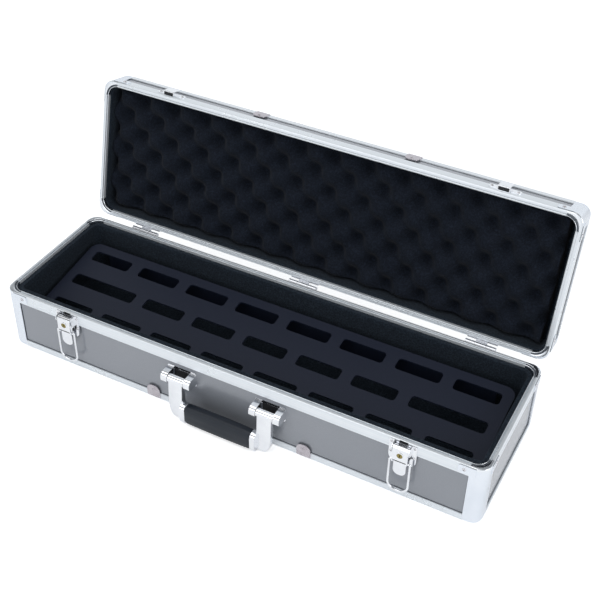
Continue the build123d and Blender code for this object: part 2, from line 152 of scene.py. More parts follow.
def makeWorld():
    world = bpy.data.worlds.new("studioRoom")
    world.use_nodes = True
    tree = world.node_tree
    tree.nodes.clear()
    path, shiny = addShiny(tree)
    fill = addNode(tree, "Background", Color=(*room["fillColor"], 1.0), Strength=room["fill"])
    direction = addNode(tree, "TexCoord")
    parts = addNode(tree, "SeparateXYZ")
    height = addNode(tree, "MapRange", From_Min=-1.0)
    ramp = addNode(tree, "ValToRGB")
    stops = ramp.color_ramp.elements
    while len(stops) < len(room["mirrored"]):
        stops.new(0.5)
    for stop, (at, level) in zip(stops, room["mirrored"]):
        stop.position = at
        stop.color = (*[level * tint for tint in room["mirroredTint"]], 1.0)
    mirrored = addNode(tree, "Background")
    wire(tree, direction, "Generated", parts, "Vector")
    wire(tree, parts, "Z", height, "Value")
    wire(tree, height, "Result", ramp, "Fac")
    wire(tree, ramp, "Color", mirrored, "Color")
    seen = addNode(tree, "Background", Color=(1.0, 1.0, 1.0, 1.0), Strength=room["seen"])
    first = addNode(tree, "MixShader")
    wire(tree, shiny, "Value", first, "Fac")
    wire(tree, fill, "Background", first, 1)
    wire(tree, mirrored, "Background", first, 2)
    second = addNode(tree, "MixShader")
    wire(tree, path, "Is Camera Ray", second, "Fac")
    wire(tree, first, "Shader", second, 1)
    wire(tree, seen, "Background", second, 2)
    out = addNode(tree, "OutputWorld")
    wire(tree, second, "Shader", out, "Surface")
    bpy.context.scene.world = world


ground = {"half": 6.0, "color": (0.86, 0.87, 0.88, 1.0), "rough": 0.7, "specular": 0.2,
          "seenGlow": 0.56, "mirroredGlow": 0.16}


def makeFloor():
    half = ground["half"]
    mesh = bpy.data.meshes.new("studioFloor")
    mesh.from_pydata([(-half, -half, 0), (half, -half, 0), (half, half, 0), (-half, half, 0)], [], [(0, 1, 2, 3)])
    floor = bpy.data.objects.new("studioFloor", mesh)
    bpy.context.collection.objects.link(floor)
    material = bpy.data.materials.new("paleFloor")
    material.use_nodes = True
    tree = material.node_tree
    shader = tree.nodes["Principled BSDF"]
    setInputs(shader, Base_Color=ground["color"], Roughness=ground["rough"], Specular_IOR_Level=ground["specular"],
              Emission_Color=(1.0, 1.0, 1.0, 1.0))
    path, shiny = addShiny(tree)
    mirrored = addNode(tree, "Math", "MULTIPLY")
    mirrored.inputs[1].default_value = ground["mirroredGlow"]
    wire(tree, shiny, "Value", mirrored, 0)
    glow = addNode(tree, "Math", "MULTIPLY_ADD")
    glow.inputs[1].default_value = ground["seenGlow"]
    wire(tree, path, "Is Camera Ray", glow, 0)
    wire(tree, mirrored, "Value", glow, 2)
    wire(tree, glow, "Value", shader, "Emission Strength")
    mesh.materials.append(material)


makeCamera()
makeLamps()
makeWorld()
makeFloor()
bpy.context.scene.view_settings.view_transform = "Standard"
print("studio ready")


def newGroup(name, inputs, outputs):
    # inputs: names and starting values, a tuple for a vector; outputs: names of plain values
    group = bpy.data.node_groups.new(name, "ShaderNodeTree")
    for label, value in inputs.items():
        kind = "NodeSocketVector" if isinstance(value, tuple) else "NodeSocketFloat"
        group.interface.new_socket(label, in_out="INPUT", socket_type=kind).default_value = value
    for label in outputs:
        group.interface.new_socket(label, in_out="OUTPUT", socket_type="NodeSocketFloat")
    return group, group.nodes.new("NodeGroupInput"), group.nodes.new("NodeGroupOutput")


def makeMottle():
    # slow clouds that shift a value between two limits
    group, given, out = newGroup("softMottle", {"Scale": 20.0, "Low": 0.3, "High": 0.4}, ("Value", "Mask"))
    spot = addNode(group, "TexCoord")
    cloud = addNode(group, "TexNoise", Detail=4.0, Roughness=0.6)
    spread = addNode(group, "MapRange", From_Min=0.32, From_Max=0.68)
    wire(group, spot, "Object", cloud, "Vector")
    wire(group, given, "Scale", cloud, "Scale")
    wire(group, cloud, "Fac", spread, "Value")
    wire(group, given, "Low", spread, "To Min")
    wire(group, given, "High", spread, "To Max")
    wire(group, spread, "Result", out, "Value")
    wire(group, cloud, "Fac", out, "Mask")
    return group


def makeGrain():
    # fine grain as a height and a mask
    group, given, out = newGroup("fineGrain", {"Scale": 900.0, "Coarse": 0.4}, ("Height", "Mask"))
    spot = addNode(group, "TexCoord")
    fine = addNode(group, "TexNoise", Detail=3.0)
    cells = addNode(group, "TexVoronoi")
    cells.feature = "SMOOTH_F1"
    coarser = addNode(group, "Math", "MULTIPLY")
    coarser.inputs[1].default_value = 0.45
    blend = addNode(group, "Mix")
    wire(group, spot, "Object", fine, "Vector")
    wire(group, spot, "Object", cells, "Vector")
    wire(group, given, "Scale", fine, "Scale")
    wire(group, given, "Scale", coarser, 0)
    wire(group, coarser, "Value", cells, "Scale")
    wire(group, given, "Coarse", blend, "Factor")
    wire(group, fine, "Fac", blend, "A")
    wire(group, cells, "Distance", blend, "B")
    wire(group, blend, "Result", out, "Height")
    wire(group, fine, "Fac", out, "Mask")
    return group


def makeDrawLines():
    # long die lines: noise squeezed across the bar and stretched along it
    group, given, out = newGroup(
        "drawLines", {"Turn": (0.0, 0.0, 0.0), "Stretch": (3.0, 2600.0, 2600.0)}, ("Height", "Mask"))
    spot = addNode(group, "TexCoord")
    turn = addNode(group, "Mapping")
    squeeze = addNode(group, "VectorMath", "MULTIPLY")
    lines = addNode(group, "TexNoise", Scale=1.0, Detail=2.0, Roughness=0.7)
    wire(group, spot, "Object", turn, "Vector")
    wire(group, given, "Turn", turn, "Rotation")
    wire(group, turn, "Vector", squeeze, 0)
    wire(group, given, "Stretch", squeeze, 1)
    wire(group, squeeze, "Vector", lines, "Vector")
    wire(group, lines, "Fac", out, "Height")
    wire(group, lines, "Fac", out, "Mask")
    return group


mottle, grain, drawLines = makeMottle(), makeGrain(), makeDrawLines()


def newMaterial(name):
    material = bpy.data.materials.new(name)
    material.use_nodes = True
    return material, material.node_tree, material.node_tree.nodes["Principled BSDF"]


def useGroup(tree, group, **values):
    node = addNode(tree, "Group")
    node.node_tree = group
    setInputs(node, **values)
    return node


def addBump(tree, shader, height, distance, strength):
    bump = addNode(tree, "Bump", Distance=distance, Strength=strength)
    tree.links.new(height, bump.inputs["Height"])
    wire(tree, bump, "Normal", shader, "Normal")


def addClouds(tree, shader, scale, low, high):
    # slow clouds in the roughness
    clouds = useGroup(tree, mottle, Scale=scale, Low=low, High=high)
    wire(tree, clouds, "Value", shader, "Roughness")
    return clouds


def addRamp(tree, factor, shader, dark, light):
    ramp = addNode(tree, "ValToRGB")
    for stop, at, color in zip(ramp.color_ramp.elements, (0.3, 0.7), (dark, light)):
        stop.position = at
        stop.color = (*color, 1.0)
    tree.links.new(factor, ramp.inputs["Fac"])
    wire(tree, ramp, "Color", shader, "Base Color")


laminate = {"dark": (0.236, 0.260, 0.280), "light": (0.282, 0.306, 0.327), "metal": 0.30, "coat": 1.0,
            "coatRough": 0.14, "coatTint": (1.0, 0.975, 1.0, 1.0), "grainDepth": 0.00002}


def makeLaminate():
    material, tree, shader = newMaterial("satinGreyLaminate")
    addClouds(tree, shader, 9.0, 0.30, 0.40)
    flakes = useGroup(tree, grain, Scale=2600.0, Coarse=0.3)
    setInputs(shader, Metallic=laminate["metal"], Coat_Weight=laminate["coat"],
              Coat_Roughness=laminate["coatRough"], Coat_Tint=laminate["coatTint"])
    addRamp(tree, flakes.outputs["Mask"], shader, laminate["dark"], laminate["light"])
    addBump(tree, shader, flakes.outputs["Height"], laminate["grainDepth"], 0.5)
    return material


aluminium = {"dark": (0.76, 0.80, 0.84), "light": (0.87, 0.90, 0.93), "metal": 0.62, "lineDepth": 0.000012}


def makeAluminium(name, turn, stretch):
    material, tree, shader = newMaterial(name)
    lines = useGroup(tree, drawLines, Turn=turn, Stretch=stretch)
    addClouds(tree, shader, 14.0, 0.26, 0.34)
    setInputs(shader, Metallic=aluminium["metal"])
    addRamp(tree, lines.outputs["Mask"], shader, aluminium["dark"], aluminium["light"])
    addBump(tree, shader, lines.outputs["Height"], aluminium["lineDepth"], 0.6)
    return material


def makePlated(name, dark, light, low, high, depth=0.00001, scale=45.0, metal=1.0):
    material, tree, shader = newMaterial(name)
    clouds = addClouds(tree, shader, scale, low, high)
    dimples = useGroup(tree, grain, Scale=700.0, Coarse=0.1)
    setInputs(shader, Metallic=metal)
    addRamp(tree, clouds.outputs["Mask"], shader, dark, light)
    addBump(tree, shader, dimples.outputs["Height"], depth, 0.4)
    return material


def makeSoft(name, dark, light, scale, coarse, depth, sheen=0.0, rough=(0.85, 0.97), specular=0.12):
    material, tree, shader = newMaterial(name)
    fibres = useGroup(tree, grain, Scale=scale, Coarse=coarse)
    addClouds(tree, shader, 30.0, *rough)
    addRamp(tree, fibres.outputs["Height"], shader, dark, light)
    setInputs(shader, Specular_IOR_Level=specular, Sheen_Weight=sheen, Sheen_Roughness=0.5)
    addBump(tree, shader, fibres.outputs["Height"], depth, 0.9)
    return material


def makePowder():
    material, tree, shader = newMaterial("blackPowderCoat")
    peel = useGroup(tree, grain, Scale=1500.0, Coarse=0.5)
    addClouds(tree, shader, 12.0, 0.42, 0.52)
    addRamp(tree, peel.outputs["Mask"], shader, (0.0082, 0.0116, 0.0240), (0.0130, 0.0173, 0.0340))
    setInputs(shader, Specular_IOR_Level=0.32)
    addBump(tree, shader, peel.outputs["Height"], 0.00004, 0.6)
    return material


lidTurn = math.radians(joints["lid_hinge"]["range_deg"][0])
along, across = (3.0, 2600.0, 2600.0), (2600.0, 3.0, 2600.0)
finish = {
    "laminate": makeLaminate(),
    "longBar": makeAluminium("drawnAluminiumLong", (0.0, 0.0, 0.0), along),
    "endBar": makeAluminium("drawnAluminiumEnd", (0.0, 0.0, 0.0), across),
    "lidEndBar": makeAluminium("drawnAluminiumLidEnd", (-lidTurn, 0.0, 0.0), across),
    # the groove's walls and floor take a darker, duller metal: painted shade in the groove
    "groove": makePlated("grooveShadeMetal", (0.52, 0.56, 0.60), (0.64, 0.68, 0.72), 0.40, 0.52, metal=0.2),
    # the tongue's sides and the ear rims of the corner posts take a darker metal: painted shade along these edges
    "tongueSide": makePlated("shadedTongueMetal", (0.24, 0.26, 0.29), (0.32, 0.35, 0.38), 0.35, 0.48, metal=0.4),
    # the insert pockets and the sunk middles of the rivet heads take a dark metal: painted shade in these hollows
    "pocket": makePlated("pocketShadeMetal", (0.13, 0.145, 0.17), (0.22, 0.24, 0.27), 0.40, 0.55, metal=0.5),
    # near black for the leaves of painted shade in the latch, strike and bracket hollows
    "recess": makePlated("recessShadeBlack", (0.006, 0.007, 0.009), (0.014, 0.015, 0.018), 0.5, 0.7, metal=0.3),
    "clip": makePlated("pinkishNickel", (0.50, 0.46, 0.49), (0.66, 0.62, 0.65), 0.22, 0.36, scale=160.0),
    "casting": makePlated("brightCornerMetal", (0.78, 0.82, 0.88), (0.86, 0.89, 0.94), 0.21, 0.26, scale=25.0),
    "insert": makePlated("brightInsertMetal", (0.82, 0.85, 0.89), (0.91, 0.93, 0.96), 0.16, 0.24),
    "chrome": makePlated("polishedChrome", (0.82, 0.83, 0.86), (0.92, 0.93, 0.95), 0.05, 0.12),
    "nickel": makePlated("satinNickel", (0.62, 0.61, 0.63), (0.74, 0.73, 0.75), 0.18, 0.30),
    "zinc": makePlated("zincSteel", (0.66, 0.67, 0.70), (0.80, 0.81, 0.84), 0.20, 0.32),
    "brass": makePlated("turnedBrass", (0.20, 0.165, 0.055), (0.38, 0.31, 0.12), 0.20, 0.34),
    "rubber": makeSoft("blackRubber", (0.0075, 0.0110, 0.0175), (0.0135, 0.0195, 0.0300), 1800.0, 0.3, 0.00003,
                       rough=(0.40, 0.52), specular=0.4),
    "lining": makeSoft("blackPileLining", (0.0073, 0.0108, 0.0165), (0.0222, 0.0322, 0.0455), 1300.0, 0.6, 0.0005,
                       sheen=0.04),
    "foam": makeSoft("openCellFoam", (0.004, 0.0056, 0.0098), (0.0125, 0.0172, 0.028), 1500.0, 0.7, 0.0006,
                     sheen=0.03),
    "powder": makePowder(),
}
print("finishes ready:", len(finish))


# the first of these words that a part's name holds gives its finish
nodeWords = (("_panel", "laminate"), ("_profiles", "longBar"), ("_corner_posts", "casting"), ("_edge_clips", "clip"),
             ("_key_plug", "brass"), ("hinge_", "zinc"), ("_pins", "zinc"), ("handle_grip", "rubber"),
             ("board_pads", "rubber"), ("board_", "powder"), ("_foam", "foam"), ("lining", "lining"),
             ("_pads", "lining"))


def nodeFinish(name):
    return next((look for word, look in nodeWords if word in name), "chrome")


def dressNodes():
    for name, node in cadNodes.items():
        node.data.materials.clear()
        node.data.materials.append(finish[nodeFinish(name)])
        if name.endswith("_corner_posts"):
            node.data.materials.append(finish["tongueSide"])
            back = shutLid if name.startswith("lid_") else Matrix.Identity(4)
            for face in node.data.polygons:
                at, facing = back @ face.center, back.to_3x3() @ face.normal
                proud = abs(at.x) > halfLength + 0.0001 or abs(at.y) > halfDepth + 0.0001
                if proud and max(abs(facing.x), abs(facing.y)) < 0.8:
                    face.material_index = 1   # the thin rim of a riveting ear, in darker metal as painted shade


dressNodes()
print("nodes dressed")


def addPiece(name, shape, materials, body, sharp=42.0):
    # materials: one finish, or several that the faces' material_index picks from
    mesh = bpy.data.meshes.new(name)
    shape.to_mesh(mesh)
    shape.free()
    mesh.validate()
    for face in mesh.polygons:
        face.use_smooth = True
    mesh.set_sharp_from_angle(angle=math.radians(sharp))
    for material in (materials if isinstance(materials, tuple) else (materials,)):
        mesh.materials.append(finish[material])
    piece = bpy.data.objects.new(name, mesh)
    bpy.context.collection.objects.link(piece)
    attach(piece, body)
    return piece


def faceOut(shape):
    bmesh.ops.recalc_face_normals(shape, faces=shape.faces)


def skinned(shape, rows, capped=True):
    # faces between each closed row of vertices and the next, and a cap over each end
    count = len(rows[0])
    faces = [shape.faces.new((a[i], b[i], b[(i + 1) % count], a[(i + 1) % count]))
             for a, b in zip(rows, rows[1:]) for i in range(count)]
    if capped:
        shape.faces.new(rows[0])
        shape.faces.new(rows[-1][::-1])
    return faces


def lofted(shape, rings):
    skinned(shape, [[shape.verts.new(point) for point in ring] for ring in rings])


def rounded(centre, radius, start, end, steps=5):
    # points along an arc, angles in degrees
    angles = [math.radians(start + (end - start) * i / steps) for i in range(steps + 1)]
    return [(centre[0] + radius * math.cos(angle), centre[1] + radius * math.sin(angle)) for angle in angles]


def roundedRing(x0, x1, y0, y1, radius, steps=4):
    radius = min(radius, (x1 - x0) * 0.49, (y1 - y0) * 0.49)
    ring = []
    for k, middle in enumerate(((x1 - radius, y1 - radius), (x0 + radius, y1 - radius),
                                (x0 + radius, y0 + radius), (x1 - radius, y0 + radius))):
        ring += rounded(middle, radius, 90 * k, 90 * k + 90, steps)
    return ring


def addGridBox(shape, low, high, step):
    counts = [max(1, round((high[i] - low[i]) / step)) for i in range(3)]
    for axis in range(3):
        u, v = (axis + 1) % 3, (axis + 2) % 3
        for side in (low[axis], high[axis]):
            rows = []
            for i in range(counts[u] + 1):
                row = []
                for j in range(counts[v] + 1):
                    point = [0.0, 0.0, 0.0]
                    point[axis] = side
                    point[u] = low[u] + (high[u] - low[u]) * i / counts[u]
                    point[v] = low[v] + (high[v] - low[v]) * j / counts[v]
                    row.append(shape.verts.new(point))
                rows.append(row)
            for i in range(counts[u]):
                for j in range(counts[v]):
                    loop = [rows[i][j], rows[i + 1][j], rows[i + 1][j + 1], rows[i][j + 1]]
                    shape.faces.new(loop if side == high[axis] else loop[::-1])


def softPad(shape, low, high, step, rounding, wobble, seed):
    # a pad with rounded edges and a slightly uneven skin, kept inside its box
    start = len(shape.verts)
    addGridBox(shape, low, high, step)
    shape.verts.ensure_lookup_table()
    for vertex in shape.verts[start:]:
        core = Vector([min(max(vertex.co[i], low[i] + rounding), high[i] - rounding) for i in range(3)])
        away = vertex.co - core
        if away.length > 1e-9:
            away.normalize()
            dent = wobble * (0.5 + 0.5 * noise.noise(vertex.co * 38.0 + Vector((seed, 0.0, 0.0))))
            vertex.co = core + away * (rounding - dent)


def turned(shape, profile, centre, normal, steps=20):
    # a lathe shape: profile is (radius, height) from the axis outwards
    normal = Vector(normal).normalized()
    turn = normal.to_track_quat("Z", "Y").to_matrix()
    rings = []
    for radius, height in profile:
        if radius == 0:
            rings.append([shape.verts.new(Vector(centre) + turn @ Vector((0, 0, height)))])
            continue
        ring = []
        for k in range(steps):
            angle = 2 * math.pi * k / steps
            point = Vector((radius * math.cos(angle), radius * math.sin(angle), height))
            ring.append(shape.verts.new(Vector(centre) + turn @ point))
        rings.append(ring)
    for inner, outer in zip(rings, rings[1:]):
        for k in range(steps):
            nearest, following = k % len(inner), (k + 1) % len(inner)
            loop = [inner[nearest], outer[k], outer[(k + 1) % steps]]
            if len(inner) > 1:
                loop.append(inner[following])
            shape.faces.new(loop)


rivet = {"radius": 0.0022, "rise": 0.0011, "hole": 0.0009, "sink": 0.0006, "foot": -0.0004,
         "domeAngles": (0.35, 0.6, 0.85, 1.1, 1.35, 1.57)}
cornerSigns = [(sx, sy) for sx in (-1, 1) for sy in (-1, 1)]


def rivetProfile(scale=1.0):
    radius, rise = rivet["radius"] * scale, rivet["rise"] * scale
    hole, sink = rivet["hole"] * scale, rivet["sink"] * scale
    dome = [(radius * math.sin(angle), rise * math.cos(angle)) for angle in rivet["domeAngles"]]
    return [(0, rise - sink), (hole * 0.8, rise - sink), (hole, rise - sink * 0.3), *dome, (radius, rivet["foot"])]


def rivetSpot(x, y, z, facingX, facingY):
    return Vector((x, y, z)), Vector((facingX, facingY, 0))


def placed(spots, turn):
    return [(turn @ centre, turn.to_3x3() @ normal) for centre, normal in spots]


def rivets(name, places, body, material="nickel", scale=1.0):
    shape = bmesh.new()
    for centre, normal in places:
        turned(shape, rivetProfile(scale), centre, normal)
    faceOut(shape)
    for face in shape.faces:
        face.material_index = 1 if len(face.verts) == 3 else 0   # the sunk middle of each head, in the darker metal of painted shade
    return addPiece(name, shape, (material, "pocket"), body)


corner = {"in": 0.0245, "drop": 0.0068, "proud": 0.0008}


def cornerPlaces(z, turn=Matrix.Identity(4)):
    inset, proud = corner["in"], corner["proud"]
    spots = []
    for sx, sy in cornerSigns:
        spots.append(rivetSpot(sx * (halfLength - inset), sy * (halfDepth + proud), z, 0, sy))
        spots.append(rivetSpot(sx * (halfLength + proud), sy * (halfDepth - inset), z, sx, 0))
    return placed(spots, turn)


clip = {"x": 0.097, "up": 0.0155, "proud": 0.001}


def clipPlaces(z, turn=Matrix.Identity(4)):
    out = halfDepth + clip["proud"]
    return placed([rivetSpot(sx * clip["x"], sy * out, z, 0, sy) for sx, sy in cornerSigns], turn)


rivets("baseCornerRivets", cornerPlaces(rimHigh - corner["drop"]), "base")
rivets("lidCornerRivets", cornerPlaces(lidRim + corner["drop"], openLid), "lid")
rivets("baseClipRivets", clipPlaces(clip["up"]), "base", "clip", 0.85)
rivets("lidClipRivets", clipPlaces(lidTop - clip["up"], openLid), "lid", "clip", 0.85)

latchX = abs(joints["left_latch"]["pos_m"][0])
front = -halfDepth
latchFix = {"across": 0.0128, "heights": (0.0642, 0.0782), "proud": 0.0012}
latchPlaces = [rivetSpot(side * latchX + dx, front - latchFix["proud"], z, 0, -1)
               for side in (-1, 1) for dx in (-latchFix["across"], latchFix["across"]) for z in latchFix["heights"]]
rivets("latchPlateRivets", latchPlaces, "base", scale=0.75)

strike = {"across": 0.0148, "up": 0.010, "proud": 0.0010}
strikePlaces = [rivetSpot(side * latchX + dx, front - strike["proud"], lidRim + strike["up"], 0, -1)
                for side in (-1, 1) for dx in (-strike["across"], strike["across"])]
rivets("strikeRivets", placed(strikePlaces, openLid), "lid", scale=0.8)

hingeFix = {"places": (-0.225, 0.0, 0.225), "across": 0.012, "baseHeights": (0.0626, 0.0691), "proud": 0.0012,
            "lidUp": (0.0165, 0.0100)}
basePlaces, lidPlaces = [], []
for x in hingeFix["places"]:
    for dx in (-hingeFix["across"], 0.0, hingeFix["across"]):
        middle = 0 if dx else 1
        y = halfDepth + hingeFix["proud"]
        basePlaces.append(rivetSpot(x + dx, y, hingeFix["baseHeights"][middle], 0, 1))
        lidPlaces.append(rivetSpot(x + dx, y, lidRim + hingeFix["lidUp"][middle], 0, 1))
rivets("hingeBaseRivets", basePlaces, "base", "zinc", 0.85)
rivets("hingeLidRivets", placed(lidPlaces, openLid), "lid", "zinc", 0.85)
print("fasteners made")


bar = {"face": 0.0141, "edge": 0.0104, "gauge": 0.0015, "wide": 0.0062, "lip": 0.0090, "web": 0.0035,
       "bevel": 0.0008, "corner": 0.0192, "groove": (0.0033, 0.0053, 0.0016), "grooveLip": 0.0003,
       "tongue": (0.0037, 0.0050, 0.0015), "tongueBevel": 0.0002, "innerRound": 0.0004, "panelIn": 0.0050,
       "edgeRound": 0.0030}


def rimSection(dip, rise):
    # (across from the outer face, height from the rim plane, finish of the face that starts here)
    gauge, wide, bevel = bar["gauge"], bar["wide"], bar["bevel"]
    top = [(0, -bar["face"], 0)] + [(x, y, 0) for x, y in rounded((bevel, -bevel), bevel, 180, 90)]
    if dip:
        near, far, deep = bar["groove"]
        lip = bar["grooveLip"]
        top += [(near - lip, 0, 0), (near, -lip, 1), (near, -deep, 1), (far, -deep, 1), (far, -lip, 0),
                (far + 0.0002, -0.00005, 0)]
    if rise:
        near, far, high = bar["tongue"]
        slope = bar["tongueBevel"]
        top += [(near, 0, 2), (near, high - slope, 0), (near + slope, high, 0), (far - slope, high, 0),
                (far, high - slope, 2), (far, 0, 0)]
    inRound, panelIn = bar["innerRound"], bar["panelIn"]
    inner = [(x, y, 0) for x, y in rounded((wide - inRound, -inRound), inRound, 90, 0, 3)]
    return top + inner + [(wide, -bar["lip"], 0), (panelIn, -bar["lip"], 0), (panelIn, -bar["web"], 0),
                          (gauge, -bar["web"], 0), (gauge, -bar["face"], 0)]


def edgeSection():
    edge, gauge, bend = bar["edge"], bar["gauge"], bar["edgeRound"]
    return ([(0, edge, 0)] + [(x, y, 0) for x, y in rounded((bend, bend), bend, 180, 270)]
            + [(edge, 0, 0), (edge, gauge, 0), (gauge, gauge, 0), (gauge, edge, 0)])


def addBars(shape, section, plane, up, finishes=(0, 2, 3)):
    # one straight bar on each side; a plain face takes index 0 on the long bars and 1 on the short ones,
    # a groove or tongue face the index that finishes gives
    for along, across in ((0, 1), (1, 0)):
        reach = (halfLength, halfDepth)[along] - bar["corner"]
        outer = (halfLength, halfDepth)[across]
        for side in (-1, 1):
            rows = []
            for end in (-1, 1):
                row = []
                for inwards, height, kind in section:
                    point = [0.0, 0.0, plane + up * height]
                    point[along], point[across] = end * reach, side * (outer - inwards)
                    row.append(shape.verts.new(point))
                rows.append(row)
            for face, (inwards, height, kind) in zip(skinned(shape, rows), section):
                face.material_index = finishes[kind] if kind else along


def makeBars(name, section, plane, up, body, node, endFinish, turn=Matrix.Identity(4)):
    shape = bmesh.new()
    addBars(shape, section, plane, up)
    faceOut(shape)
    shape.transform(turn)
    looks = ("longBar", endFinish, "groove", "tongueSide")
    piece = addPiece(name, shape, looks, body, sharp=32.0)
    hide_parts(node)


makeBars("baseRimBars", rimSection(True, False), rimHigh, 1, "base", "base_rim_profiles", "endBar")
makeBars("lidRimBars", rimSection(False, True), lidRim, -1, "lid", "lid_rim_profiles", "lidEndBar", openLid)
makeBars("baseEdgeBars", edgeSection(), 0.0, 1, "base", "base_edge_profiles", "endBar")
makeBars("lidEdgeBars", edgeSection(), lidTop, -1, "lid", "lid_edge_profiles", "lidEndBar", openLid)
print("bars made")

insert = {"face": 0.0192, "outerRound": 0.012, "innerRound": 0.013, "thick": 0.0035, "bevel": 0.0008, "bead": 0.0010,
          "channel": 0.0021, "pocket": 0.0014, "deeper": 0.0006, "ribHalf": 2.0, "ribDrop": 0.0004,
          "ribAngles": (222.9, 223.2, 226.8, 227.1), "pocketFaces": (5, 6, 7)}


def insertReach(direction):
    # from the middle of the inner curve to the outer edge, along a direction in the corner's own axes
    face, radius = insert["face"], insert["outerRound"]
    reach = face / max(abs(direction.x), abs(direction.y))
    hit = Vector((face, face)) + reach * direction
    if hit.x < radius and hit.y < radius:
        offset = Vector((face - radius, face - radius))
        half = offset.dot(direction)
        reach = -half + math.sqrt(half * half - offset.length_squared + radius * radius)
    return reach


def insertSection(width, angle):
    # across the insert from its outer edge inwards: bevel, flat band, pocket, rounded bead
    bevel, bead = insert["bevel"], insert["bead"]
    inner = width - bead
    band = inner - insert["channel"]
    fromMiddle = abs(angle - 225)
    deep = insert["pocket"] + insert["deeper"] * max(0.0, 1 - fromMiddle / 45)
    if fromMiddle < insert["ribHalf"]:
        deep = insert["ribDrop"]
    foot = -insert["thick"]
    return [(0, foot), (0, -bevel), (bevel * 0.3, -bevel * 0.3), (bevel, 0), (band - 0.0002, 0), (band, -0.0002),
            (band + 0.0001, -deep), (inner - 0.0001, -deep), (inner, -0.0004), (inner + bead * 0.15, -0.0001),
            (inner + bead * 0.4, 0), (inner + bead * 0.65, -0.0001), (inner + bead * 0.9, -0.0004), (width, -0.0008),
            (width, foot)]


def addInsert(shape, sx, sy, rim, up):
    angles = sorted([180 + 3.0 * k for k in range(31)] + list(insert["ribAngles"]))
    centre = Vector((insert["face"], insert["face"]))
    sections = []
    for angle in angles:
        direction = Vector((math.cos(math.radians(angle)), math.sin(math.radians(angle))))
        reach = insertReach(direction)
        points = []
        for across, height in insertSection(reach - insert["innerRound"], angle):
            at = centre + (reach - across) * direction
            points.append(shape.verts.new((sx * (halfLength - at.x), sy * (halfDepth - at.y), rim + up * height)))
        sections.append(points)
    # the pocket's faces take the darker metal of painted shade
    for i, face in enumerate(skinned(shape, sections)):
        face.material_index = 1 if i % len(sections[0]) in insert["pocketFaces"] else 0


def makeInserts(name, node, body, rim, up, turn=Matrix.Identity(4)):
    shape = bmesh.new()
    for sx, sy in cornerSigns:
        addInsert(shape, sx, sy, rim, up)
    faceOut(shape)
    shape.transform(turn)
    piece = addPiece(name, shape, ("insert", "pocket"), body, sharp=50.0)
    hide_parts(node)


makeInserts("baseCornerInserts", "base_rim_corners", "base", rimHigh, 1)
makeInserts("lidCornerInserts", "lid_rim_corners", "lid", lidRim, -1, openLid)
print("corner inserts made")

# sizes of the black strips of painted shade along the panel borders
panelShade = {"wide": 0.0006, "proud": 0.0003, "back": 0.0015, "step": 0.012, "rounding": 0.00012}


def makePanelShadeLines(name, body, closed, rim, turn=Matrix.Identity(4)):
    # a thin black strip of painted shade where each side panel meets the edge bar and the corner posts
    up = 1 if rim > closed else -1
    start, end = closed + up * bar["edge"], rim - up * bar["face"]
    wide, proud, back = panelShade["wide"], panelShade["proud"], panelShade["back"]
    shape = bmesh.new()
    for along, across in ((0, 1), (1, 0)):
        reach = (halfLength, halfDepth)[along] - bar["corner"]
        plane = (halfLength, halfDepth)[across] - back
        strips = [((-reach, reach), sorted((start, start + up * wide)))]
        strips += [(sorted((side * reach, side * (reach - wide))), sorted((start, end))) for side in (-1, 1)]
        for side in (-1, 1):
            for (a0, a1), (z0, z1) in strips:
                low, high = Vector((0, 0, z0)), Vector((0, 0, z1))
                low[along], high[along] = a0, a1
                low[across], high[across] = sorted((side * plane, side * (plane + proud)))
                softPad(shape, low, high, panelShade["step"], panelShade["rounding"], 0.0, 0.0)
    bmesh.ops.remove_doubles(shape, verts=shape.verts, dist=1e-8)
    shape.transform(turn)
    addPiece(name, shape, "rubber", body)


makePanelShadeLines("basePanelShadeLines", "base", 0.0, rimHigh)
makePanelShadeLines("lidPanelShadeLines", "lid", lidTop, lidRim, openLid)
print("panel shade lines made")

# sizes of the thin dark leaves that stand in as painted shade
shadeLeaf = {"proud": 0.00012, "sunk": 0.0001, "rounding": 0.00005, "step": 0.004,
         "notch": (0.0047, 0.0784, 0.0820), "gap": (0.0070, 0.0570, 0.0606), "gapOut": 0.0062,
         "cheek": (0.0018, 0.0052, 0.0605, 0.0655), "cheekOut": 0.0086,
         "hook": (0.0061, 0.0007, 0.0047, 0.0025)}


def addShadeLeaf(shape, low, high):
    # a thin dark box that carries painted shade
    softPad(shape, Vector(low), Vector(high), shadeLeaf["step"], shadeLeaf["rounding"], 0.0, 0.0)


def addFrontShadeLeaf(shape, x, half, face, low, high):
    # a thin dark leaf of painted shade on a face that looks forwards
    addShadeLeaf(shape, (x - half, face - shadeLeaf["proud"], low), (x + half, face + shadeLeaf["sunk"], high))


def addShades(name, shape, body):
    addPiece(name, shape, "recess", body)


def makeLatchShades():
    # dark leaves of painted shade in the hollows of each latch: behind the plate's notch, under the hood and in the
    # lever's cheeks
    notch = bmesh.new()
    for side in (-1, 1):
        half, low, high = shadeLeaf["notch"]
        addFrontShadeLeaf(notch, side * latchX, half, front, low, high)
    addShades("latchNotchShades", notch, "base")
    for side, word in ((-1, "left"), (1, "right")):
        x = side * latchX
        shape = bmesh.new()
        half, low, high = shadeLeaf["gap"]
        addFrontShadeLeaf(shape, x, half, front - shadeLeaf["gapOut"], low, high)
        near, far, low, high = shadeLeaf["cheek"]
        for way in (-1, 1):
            edge = x + way * shadeLeaf["cheekOut"]
            x0, x1 = sorted((edge - way * shadeLeaf["sunk"], edge + way * shadeLeaf["proud"]))
            addShadeLeaf(shape, (x0, front - far, low), (x1, front - near, high))
        addShades(word + "LatchShades", shape, word + "_lever")


